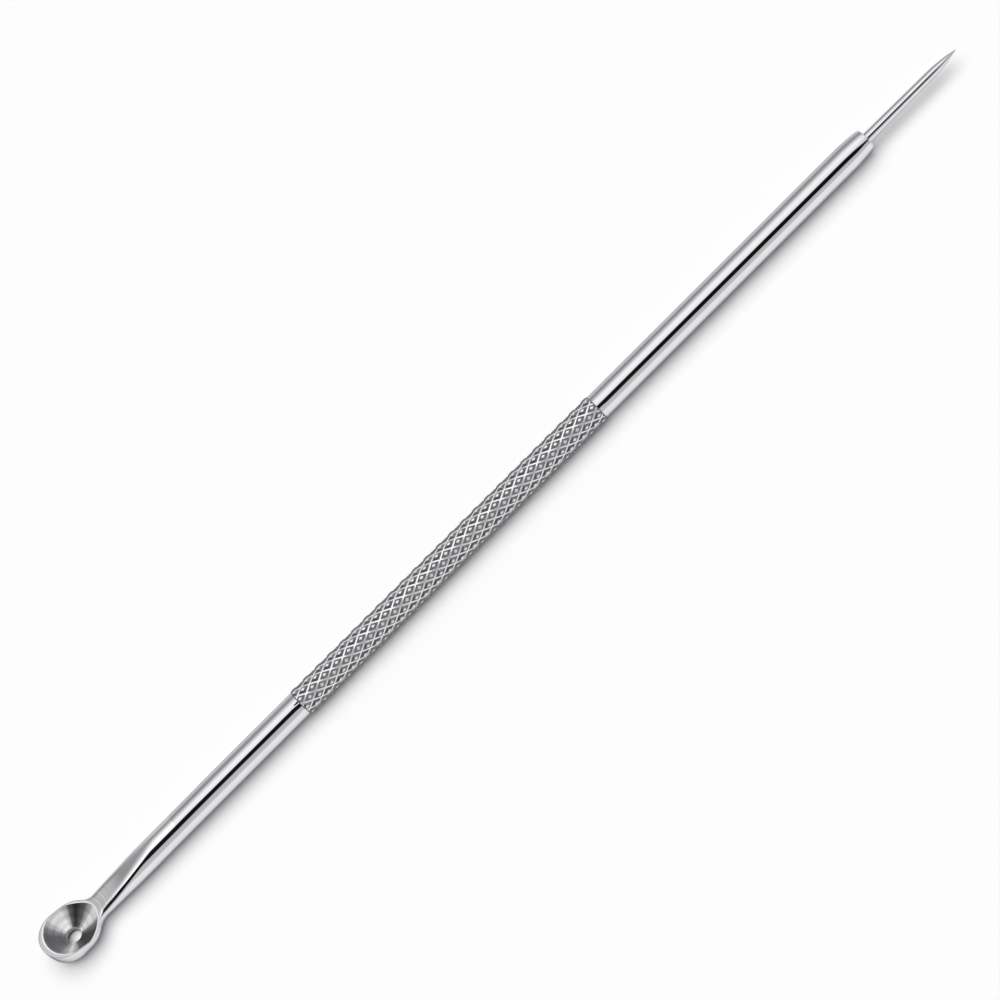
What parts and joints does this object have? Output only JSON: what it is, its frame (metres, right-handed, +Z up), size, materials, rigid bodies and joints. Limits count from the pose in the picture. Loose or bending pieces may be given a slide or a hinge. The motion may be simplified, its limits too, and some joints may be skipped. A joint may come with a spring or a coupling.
{
  "type": "blackhead extractor",
  "caption": "Slim skin-care hand tool: round polished bar with a diamond-knurled grip, a tilted dished spoon pierced by an extraction hole, and a straight lancet needle at the far end.",
  "frame": {"origin": "on the surface the tool lies on, under the middle of its length and width", "axes": "+X along the bar from the spoon to the needle's point, +Z up out of the spoon's mouth, +Y across the bar to complete a right-handed frame"},
  "size_m": [0.14, 0.006, 0.0034],
  "materials": {
    "handle_steel": "mirror-polished stainless steel; the dish is turned and the ramp is left satin",
    "needle_steel": "ground and polished stainless steel"
  },
  "bodies": {
    "root": {"spoon_handle": "handle_steel", "lancet_needle": "needle_steel"}
  },
  "joints": []
}
